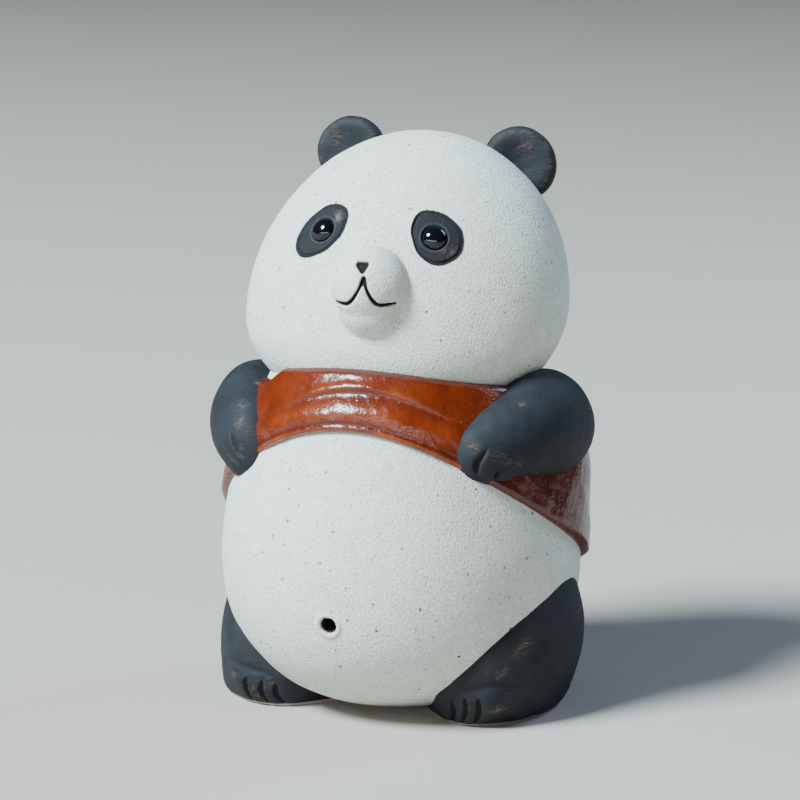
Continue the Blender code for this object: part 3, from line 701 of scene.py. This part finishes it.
oxide.node_tree.links.new(dryness.outputs[0], shader.inputs["Roughness"])
oxide.node_tree.links.new(bump.outputs["Normal"], shader.inputs["Normal"])

for name, side in (("arm_left", 1), ("arm_right", -1)):
    arm = make_arm(name, side)
    arm.data.materials.append(oxide)
    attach(arm, "root")
    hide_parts("panda_figurine")

# Legs: a wedge of clay on each flank, smeared to the hip above and pressed flat below, with the toes cut
# in. They have the same oxide wash, wiped off the very edge of the sole so it does not stick in the kiln.

# Each station is an azimuth in degrees, then the level where the leg meets the belly, how far out its sole
# reaches, and how much it swells between the two
LEG = (
    (33.5, (5.6, 17.0, 0.5)),
    (36.0, (6.8, 18.4, 0.9)),
    (39.0, (8.6, 19.6, 1.3)),
    (44.0, (11.2, 21.6, 1.8)),
    (50.0, (14.0, 23.4, 2.2)),
    (60.0, (17.3, 25.0, 2.1)),
    (75.0, (20.7, 25.8, 1.9)),
    (88.0, (21.5, 25.8, 2.0)),
    (100.0, (18.8, 25.0, 2.2)),
    (110.0, (15.4, 24.4, 2.2)),
    (122.0, (12.6, 23.8, 1.8)),
    (134.0, (9.6, 22.6, 1.2)),
    (146.0, (6.0, 19.0, 0.6)),
)
LEG_START, LEG_END = LEG[0][0], LEG[-1][0]
# The end at the toes slants back towards the sole
TOE_SLANT, TOE_SLANT_OVER = 6.0, 10.0
LEG_TOES_CLOSE, LEG_HEEL_CLOSES = 2.5, 9.0
LEG_WAVE, LEG_WAVE_SIZE = 0.12, 8.0
LEG_RIPPLE, LEG_RIPPLE_SIZE = 0.035, 2.4
# The right leg begins further back, its hip is lower behind the first of two azimuths, and its foot is fuller
RIGHT_FOOT_BACK = 2.5
RIGHT_HIP_LOWER, RIGHT_HIP_FROM, RIGHT_HIP_TO = 3.4, 38.0, 72.0
RIGHT_FOOT_FULLER, RIGHT_FOOT_AT, RIGHT_FOOT_HALF_WIDTH = 2.2, 75.0, 25.0
# Each toe groove, and the shallow crease of the ankle, runs through places given by an azimuth in degrees
# and a share of the way down
TOES = {
    1: (((37.6, 0.40), (38.6, 0.97)), ((41.4, 0.46), (43.2, 0.98)), ((45.2, 0.54), (47.4, 0.98))),
    -1: (((37.0, 0.42), (38.4, 0.97)), ((40.4, 0.50), (43.6, 0.98)), ((45.0, 0.56), (49.0, 0.98))),
}
TOE_WIDTH, TOE_DEPTH = 0.5, 0.6
ANKLE = ((38.0, 0.30), (44.0, 0.42), (52.0, 0.50), (60.0, 0.62))
ANKLE_WIDTH, ANKLE_DEPTH = 0.7, 0.3
# Rubbed streaks, each from an azimuth and share down to another, with a radius in parts
LEG_RUBS = {
    1: (
        ((63.0, 0.22), (55.0, 0.31), 1.0),
        ((54.0, 0.35), (50.0, 0.41), 0.7),
        ((47.0, 0.76), (56.0, 0.79), 0.8),
        ((37.0, 0.70), (40.0, 0.86), 0.5),
    ),
    -1: (
        ((43.4, 0.66), (44.0, 0.86), 0.7),
        ((37.4, 0.42), (39.0, 0.50), 0.8),
        ((48.0, 0.6), (54.0, 0.7), 0.5),
    ),
}


def leg_skin(side, azimuth, down):
    """Outer skin of a leg in the plane of an azimuth: from the belly, down 0, to the sole, down 1, with a
    swell between, drawn in to the belly's skin at the toes and the heel."""
    top, sole, swell = through(LEG, azimuth)
    tip = np.clip((azimuth - LEG_START) / LEG_TOES_CLOSE, 0.0, 1.0)
    heel = np.clip((LEG_END - azimuth) / LEG_HEEL_CLOSES, 0.0, 1.0)
    if side < 0:
        top = top - RIGHT_HIP_LOWER * step(azimuth, RIGHT_HIP_FROM, RIGHT_HIP_TO)
        fuller = RIGHT_FOOT_FULLER * bell(azimuth, RIGHT_FOOT_AT, RIGHT_FOOT_HALF_WIDTH)
        sole, swell = sole + fuller, swell - 0.4 * fuller
        azimuth = azimuth + RIGHT_FOOT_BACK * (LEG_END - azimuth) / (LEG_END - LEG_START)
    slant = TOE_SLANT * down**2 * (1.0 - np.clip((azimuth - LEG_START) / TOE_SLANT_OVER, 0.0, 1.0))
    turn = np.radians(azimuth + slant)
    meeting = belly_skin(side * turn, top, -0.35)
    start = np.hypot(meeting[..., 0], meeting[..., 1])
    reach = start + (sole - start) * down + swell * 4.0 * down * (1.0 - down)
    toe_pads = 0.75 * bell(down, 0.74, 0.22) * (1.0 - step(azimuth, 48.0, 60.0))
    sole_edge = 0.55 * np.maximum(down - 0.88, 0.0) ** 2 / 0.12**2
    reach = reach + toe_pads - sole_edge
    level = top * (1.0 - down)
    bare = belly_skin(side * turn, level, -0.5)
    bare = np.hypot(bare[..., 0], bare[..., 1])
    close = np.sqrt(1.0 - (1.0 - tip) ** 4) * np.sqrt(1.0 - (1.0 - heel) ** 2)
    reach = bare + (reach - bare) * close
    return np.stack(np.broadcast_arrays(side * reach * np.sin(turn), -reach * np.cos(turn), level), axis=-1)


def raised_open(points, height):
    """As raised, for a sheet whose rows do not close on themselves."""
    normal = np.cross(np.gradient(points, axis=1), np.gradient(points, axis=0))
    normal /= np.maximum(np.linalg.norm(normal, axis=2, keepdims=True), 1e-12)
    return points + normal * height[..., None]


def make_leg(name, side):
    """Rows run along the leg from toe to heel. Each goes down the outer skin, under the sole and up inside
    the belly. The right leg's columns are turned round, so that its faces point outward too."""
    rows, outer, under, inner = 230, 110, 8, 8
    along = graded(rows, (0.08, 0.09, 3.2), (0.0, 0.02, 6.0), (1.0, 0.04, 2.0))
    azimuth = LEG_START + (LEG_END - LEG_START) * along
    down, azimuth = np.meshgrid(graded(outer, (0.85, 0.2, 1.0), (1.0, 0.03, 2.0)), azimuth)
    skin = leg_skin(side, azimuth, down)
    height = LEG_WAVE * uneven(skin, LEG_WAVE_SIZE, 11 + side)
    height += LEG_RIPPLE * uneven(skin * [1.0, 1.0, 2.4], LEG_RIPPLE_SIZE, 12)
    cuts = np.zeros_like(height)
    for groove in TOES[side]:
        path = drawn(groove)
        cuts = np.maximum(cuts, cut_depth(skin, leg_skin(side, path[:, 0], path[:, 1]), TOE_WIDTH))
    height += 0.16 * bell(cuts, 0.3, 0.28) - TOE_DEPTH * cuts
    path = drawn(ANKLE)
    height -= ANKLE_DEPTH * cut_depth(skin, leg_skin(side, path[:, 0], path[:, 1]), ANKLE_WIDTH)
    rub = 0.3 * bell(cuts, 0.2, 0.12) + 0.15 * step(uneven(skin, 5.0, 13), 0.3, 0.9) - step(cuts, 0.25, 0.7)
    for start, end, radius in LEG_RUBS[side]:
        path = drawn((start, end))
        rub = np.maximum(rub, cut_depth(skin, leg_skin(side, path[:, 0], path[:, 1]), radius) - 2.0 * cuts)
    skin = raised_open(skin, side * height * step(down, 0.0, 0.3) * step(1.0 - down, 0.0, 0.04))
    skin[..., 2] = np.maximum(skin[..., 2], 0.0)
    sole, top = skin[:, -1:], skin[:, :1]
    inward = np.linspace(0.0, 1.0, under + 1)[1:, None] * 0.3
    floor = sole * (1.0 - inward * [1.0, 1.0, 0.0])
    back = np.linspace(0.0, 1.0, inner + 1)[1:-1, None]
    inside = floor[:, -1:] + (top * [0.8, 0.8, 1.0] - floor[:, -1:]) * back
    points = np.concatenate([skin, floor, inside], axis=1)
    points[0], points[-1] = points[0].mean(axis=0), points[-1].mean(axis=0)
    rub = np.concatenate([rub, np.zeros((rows, points.shape[1] - outer))], axis=1)
    if side < 0:
        points, rub = points[:, ::-1], rub[:, ::-1]
    return clay_form(name, points, {"rub": rub})


for name, side in (("leg_left", 1), ("leg_right", -1)):
    leg = make_leg(name, side)
    leg.data.materials.append(oxide)
    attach(leg, "root")
    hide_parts("panda_figurine")

# Ears: a thick round disc of clay set into each side of the crown, dished with a thumb on the side that
# faces forward. They have the same oxide wash, rubbed back to copper on the rim and in the dish.

EARS = {"ear_left": ((14.9, 11.0, 21.2), 5.9), "ear_right": ((-11.8, 11.0, 22.6), 5.5)}
EAR_HALF_THICKNESS = 2.3
EAR_DISH = 1.25
EAR_SPLAY, EAR_NOD = math.radians(36.0), math.radians(-8.0)


def make_ear(name):
    """A rounded disc about the Y axis, its front pressed in by a dish, then leaned out and set on the
    head."""
    columns, rows = 150, 120
    centre, radius = EARS[name]
    side = math.copysign(1.0, centre[0])
    round_it = np.linspace(0.0, 2.0 * math.pi, columns, endpoint=False)
    turn, rise = np.meshgrid(round_it, np.linspace(0.5, -0.5, rows) * math.pi)
    ring = np.cos(rise) ** 0.76
    front = rise < 0.0
    dish = EAR_DISH * (1.0 - step(ring, 0.12, 0.94)) * front
    thick = EAR_HALF_THICKNESS * np.sign(rise) * np.abs(np.sin(rise)) ** 0.8
    points = np.stack([radius * ring * np.cos(turn), thick + dish, radius * ring * np.sin(turn)], axis=-1)
    points = raised(points, 0.10 * uneven(points, 5.0, 14) + 0.03 * uneven(points, 2.0, 15))
    lean = Matrix.Rotation(side * EAR_SPLAY, 3, "Y") @ Matrix.Rotation(EAR_NOD, 3, "X")
    rub = 0.7 * bell(ring, 0.86, 0.07) * front * (0.5 + 0.5 * uneven(points, 6.0, 16))
    from_thumb = np.hypot(points[..., 0] + 0.1 * radius, points[..., 2] - 0.45 * radius)
    rub += 0.7 * bell(from_thumb, 0.0, 1.2) * front
    points = to_figure(points @ np.array(lean).T + np.array(centre))
    return clay_form(name, points, {"rub": rub})


for name in EARS:
    ear = make_ear(name)
    ear.data.materials.append(oxide)
    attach(ear, "root")
    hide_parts("panda_figurine")

# Vest: a band of clay rolled out and wrapped round the chest, lower at the back, with folds pressed in and
# a rolled hem. It is dipped in an iron glaze that runs thin and orange on edges and pools brown in folds.

NECK_LEVEL, NECK_TO_FRONT, NECK_TO_RIGHT, NECK_SADDLE = 52.4, 0.45, 0.4, 1.4
# By the right shoulder it leaves a little of the clay bare
NECK_BARE, NECK_BARE_FROM, NECK_BARE_TO = 2.0, (40.0, 52.0), (70.0, 90.0)
HEM_FRONT, HEM_BACK, HEM_FALL = 45.7, 18.9, 140.0
VEST_THICKNESS = 1.2 * MM
VEST_FULL_BACK = 2.4
VEST_SUNK = 1.6
# Two folds cross the chest, each at a level in front and lower by a share of its degrees squared to the sides
LOW_ROLL, LOW_ROLL_FALL, LOW_ROLL_PROUD = 48.7, 0.0027, 0.62
MID_FOLD, MID_FOLD_FALL, MID_FOLD_PROUD = 52.2, 0.0036, 0.42


def hem_level(away):
    """Level of the hem at a number of degrees from the front: one long wave from the front to the back."""
    share = np.minimum(away / HEM_FALL, 1.0)
    return HEM_BACK + (HEM_FRONT - HEM_BACK) * 0.5 * (1.0 + np.cos(math.pi * share))


def neck_level(azimuth):
    """Level of the neckline, which follows the head's underside: higher in front and behind than at the
    sides, and lower by the right shoulder."""
    waves = NECK_TO_FRONT * np.cos(azimuth) - NECK_TO_RIGHT * np.sin(azimuth)
    from_front = -np.degrees(azimuth)
    bare = NECK_BARE * step(from_front, *NECK_BARE_FROM) * (1.0 - step(from_front, *NECK_BARE_TO))
    return NECK_LEVEL + waves + NECK_SADDLE * np.cos(2.0 * azimuth) - bare


def make_vest():
    """Rows run round the band's section: up the outer face from the rolled hem, and down again inside the
    belly. The face is the belly's skin moved out by the band's thickness, its folds and its waves."""
    columns, outer = 560, 84
    round_it = 2.0 * math.pi * (graded(columns + 1, (0.5, 0.16, 1.2))[:-1] - 0.5)
    azimuth, share = np.meshgrid(round_it, graded(outer, (0.0, 0.05, 2.0), (0.5, 0.3, 0.6)))
    degrees = np.degrees(azimuth)
    away = np.abs(degrees)
    hem = hem_level(away)
    neck = neck_level(azimuth)
    level = hem + (neck - hem) * share
    above, below = level - hem, neck - level
    chest, before_arms = bell(away, 0.0, 50.0), 1.0 - step(away, 40.0, 56.0)
    low_roll = LOW_ROLL - LOW_ROLL_FALL * (degrees - 2.0) ** 2
    mid_fold = MID_FOLD - MID_FOLD_FALL * (degrees - 3.0) ** 2
    folds = LOW_ROLL_PROUD * bell(level, low_roll, 1.5) + MID_FOLD_PROUD * bell(level, mid_fold, 0.65)
    folds = chest * folds - 0.22 * chest * bell(level, low_roll + 2.2, 0.7)
    hang = 0.30 * bell(away, 62.0, 5.0) * bell(level, 40.0, 6.0)
    hang += 0.35 * np.sin(9.0 * azimuth + 0.22 * level) * step(away, 95.0, 130.0)
    full = VEST_FULL_BACK * step(away, 75.0, 115.0) * bell(level, 39.0, 9.0)
    lip = (0.03 * bell(above, 0.45, 0.4) - 0.10 * bell(above, 1.15, 0.4)) * before_arms
    pressed = 0.8 * bell(degrees, -40.0, 5.0) * bell(level, 40.5, 4.0)
    pressed += 0.5 * bell(degrees, 40.0, 5.0) * bell(level, 41.0, 3.5)
    flat = belly_skin(azimuth, level)
    wave = 0.07 * uneven(flat, 4.5, 21) + 0.035 * uneven(flat, 1.6, 22)
    edge = np.sqrt(1.0 - (1.0 - np.clip(above / 0.85, 0.0, 1.0)) ** 2)
    collar = np.sqrt(1.0 - (1.0 - np.clip(below / 0.9, 0.0, 1.0)) ** 2)
    proud = VEST_THICKNESS + folds + hang * step(above, 0.0, 3.0) + full + lip + wave - pressed
    face = belly_skin(azimuth, level - 0.2 * (1.0 - edge), proud * edge * collar - 0.15 * (1.0 - edge))
    inside = hem[0] + (neck[0] - hem[0]) * np.array([1.0, 0.66, 0.33, 0.0])[:, None]
    points = np.concatenate([face, belly_skin(azimuth[0], inside, -VEST_SUNK)])
    thin = bell(above, 0.35, 0.45) * before_arms
    thin += 0.35 * chest * bell(level, low_roll, 1.1)
    thin += 0.5 * chest * bell(level, mid_fold, 0.5)
    # The last term darkens the neckline's edge under the head: partly thick glaze, partly painted shade in
    # the crease.
    glaze_pool_and_shade = bell(above, 1.25, 0.45) + 0.6 * chest * bell(level, low_roll + 2.0, 0.9) + bell(below, 0.1, 0.6)
    # Under the left arm the vest is darker: partly glaze pooled thick, partly painted shade on the unlit
    # side.
    pooled_and_shaded_under_arm = 1.2 * step(degrees, 42.0, 58.0) * (1.0 - step(degrees, 110.0, 150.0))
    glaze_pool_and_shade += pooled_and_shaded_under_arm * (1.0 - step(level, 41.0, 45.0))
    pad = np.zeros(inside.shape)
    marks = {"thin": np.concatenate([thin, pad]), "glaze_pool_and_shade": np.concatenate([glaze_pool_and_shade, pad])}
    return clay_form("vest", points, marks, poles=False)


# Iron glaze: a glossy amber glass over rust-red clay. It is bright orange where it runs thin over an edge,
# red-brown where it is thick, and the sand of the clay shows through it as an orange peel with pinholes. The
# thick colour also paints shade: under the left arm and along the neckline below the head.
AMBER_DARK, AMBER_PALE, AMBER_THIN, AMBER_THICK_AND_SHADE = "5A1B08", "6E270B", "903E10", "48140A"
RUN_MM = 4.0
PEEL_MM, BROAD_PEEL_MM = 0.42, 1.7
PINHOLE_CELL_MM = 0.95
PEEL_DEPTH = 0.00014
glaze = new_material("amber_iron_glaze")
place = add(glaze, "TexCoord", {}).outputs["Object"]
runs = add(glaze, "TexNoise", {"Vector": place, "Scale": per_mm(RUN_MM), "Detail": 5.0, "Roughness": 0.6})
thin_mark = add(glaze, "Attribute", {}, attribute_name="thin")
glaze_pool_and_shade_mark = add(glaze, "Attribute", {}, attribute_name="glaze_pool_and_shade")
tone = add(glaze, "MapRange", {"Value": runs.outputs["Fac"], "From Min": 0.3, "From Max": 0.7})
amber = add(
    glaze, "Mix", {0: tone.outputs[0], 6: linear(AMBER_DARK), 7: linear(AMBER_PALE)}, data_type="RGBA"
)
thin = add(glaze, "Math", {0: thin_mark.outputs["Fac"], 1: tone.outputs[0]}, operation="MULTIPLY")
amber = add(glaze, "Mix", {0: thin.outputs[0], 6: amber.outputs[2], 7: linear(AMBER_THIN)}, data_type="RGBA")
glaze_pool_and_shade = add(glaze, "MapRange", {"Value": glaze_pool_and_shade_mark.outputs["Fac"], "To Max": 0.8})
amber = add(glaze, "Mix", {0: glaze_pool_and_shade.outputs[0], 6: amber.outputs[2], 7: linear(AMBER_THICK_AND_SHADE)}, data_type="RGBA")
peel = add(glaze, "TexNoise", {"Vector": place, "Scale": per_mm(PEEL_MM), "Detail": 2.0, "Roughness": 0.5})
broad = add(glaze, "TexNoise", {"Vector": place, "Scale": per_mm(BROAD_PEEL_MM), "Detail": 2.0})
relief = add(
    glaze, "Math", {0: broad.outputs["Fac"], 1: 1.6, 2: peel.outputs["Fac"]}, operation="MULTIPLY_ADD"
)
pinholes = add(glaze, "TexVoronoi", {"Vector": place, "Scale": per_mm(PINHOLE_CELL_MM)})
rim = add(glaze, "MapRange", {"Value": pinholes.outputs["Distance"], "From Min": 0.08, "From Max": 0.2})
relief = add(glaze, "Math", {0: rim.outputs[0], 1: 0.6, 2: relief.outputs[0]}, operation="MULTIPLY_ADD")
bump = add(glaze, "Bump", {"Height": relief.outputs[0], "Strength": 0.42, "Distance": PEEL_DEPTH})
polish = add(
    glaze, "MapRange",
    {"Value": runs.outputs["Fac"], "From Min": 0.3, "From Max": 0.7, "To Min": 0.19, "To Max": 0.30},
)
shader = glaze.node_tree.nodes["Principled BSDF"]
shader.inputs["IOR"].default_value = 1.52
glaze.node_tree.links.new(amber.outputs[2], shader.inputs["Base Color"])
glaze.node_tree.links.new(polish.outputs[0], shader.inputs["Roughness"])
glaze.node_tree.links.new(bump.outputs["Normal"], shader.inputs["Normal"])

vest = make_vest()
vest.data.materials.append(glaze)
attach(vest, "root")
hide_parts("panda_figurine")

# Studio: a pale matte sweep, one large soft light on the figure's right, a window-like light that gives the
# glaze its highlights, a cool light behind it on the left, and the camera of the photograph.

SWEEP_REACH = 3.0
SWEEP_COLOUR = "AFA59A"
floor_mesh = bpy.data.meshes.new("floor")
corners = [(x * SWEEP_REACH, y * SWEEP_REACH, 0.0) for x, y in ((-1, -1), (1, -1), (1, 1), (-1, 1))]
floor_mesh.from_pydata(corners, [], [(0, 1, 2, 3)])
floor = bpy.data.objects.new("floor", floor_mesh)
bpy.context.scene.collection.objects.link(floor)
sweep = new_material("pale_matte_sweep")
sweep.node_tree.nodes["Principled BSDF"].inputs["Base Color"].default_value = linear(SWEEP_COLOUR)
sweep.node_tree.nodes["Principled BSDF"].inputs["Roughness"].default_value = 0.9
floor_mesh.materials.append(sweep)

AIM = Vector((0.0, 0.0, 43.0 * PART))


def facing(azimuth, elevation, distance):
    """Placement at an azimuth and elevation, in degrees, looking at the aim. Azimuth 0 is in front."""
    a, e = math.radians(azimuth), math.radians(elevation)
    back = Vector((math.sin(a) * math.cos(e), -math.cos(a) * math.cos(e), math.sin(e)))
    right = Vector((math.cos(a), math.sin(a), 0.0))
    turn = Matrix((right, back.cross(right), back)).transposed().to_4x4()
    return Matrix.Translation(AIM + back * distance) @ turn


def softbox(name, azimuth, elevation, distance, width, height, watts, colour):
    light = bpy.data.lights.new(name, "AREA")
    light.shape = "ELLIPSE"
    light.size, light.size_y = width, height
    light.energy = watts
    light.color = linear(colour)[:3]
    lamp = bpy.data.objects.new(name, light)
    lamp.matrix_world = facing(azimuth, elevation, distance)
    bpy.context.scene.collection.objects.link(lamp)


softbox("key", -38.0, 46.0, 2.4, 0.78, 0.78, 225.0, "DCF4FF")
softbox("window", -3.0, 12.0, 0.7, 1.3, 0.05, 2.3, "F0F8FF")
softbox("rim", 138.0, 36.0, 0.7, 0.25, 0.4, 3.0, "B8D8FF")

world = bpy.data.worlds.new("studio")
world.use_nodes = True
world.node_tree.nodes["Background"].inputs["Color"].default_value = linear("E8ECF0")
world.node_tree.nodes["Background"].inputs["Strength"].default_value = 0.04
bpy.context.scene.world = world

# The photograph's camera, fitted to it: 20 degrees round to the figure's left and 11 above the floor. At the
# aim 6.5 pixels cover a part, and the aim lies at pixel 403, 420 of the 800 by 800 image.
IMAGE_PIXELS = 800.0
CAMERA_AZIMUTH, CAMERA_ELEVATION, CAMERA_DISTANCE = 20.0, 11.0, 500.0 * PART
AIM_PIXEL = (403.0, 420.0)
PIXELS_PER_PART = 6.5
camera = bpy.data.cameras.new("camera")
camera.sensor_width = 36.0
camera.lens = camera.sensor_width * PIXELS_PER_PART / PART * CAMERA_DISTANCE / IMAGE_PIXELS
camera.shift_x = (0.5 * IMAGE_PIXELS - AIM_PIXEL[0]) / IMAGE_PIXELS
camera.shift_y = (AIM_PIXEL[1] - 0.5 * IMAGE_PIXELS) / IMAGE_PIXELS
camera.clip_start = 0.01
viewer = bpy.data.objects.new("camera", camera)
viewer.matrix_world = facing(CAMERA_AZIMUTH, CAMERA_ELEVATION, CAMERA_DISTANCE)
bpy.context.scene.collection.objects.link(viewer)
bpy.context.scene.camera = viewer
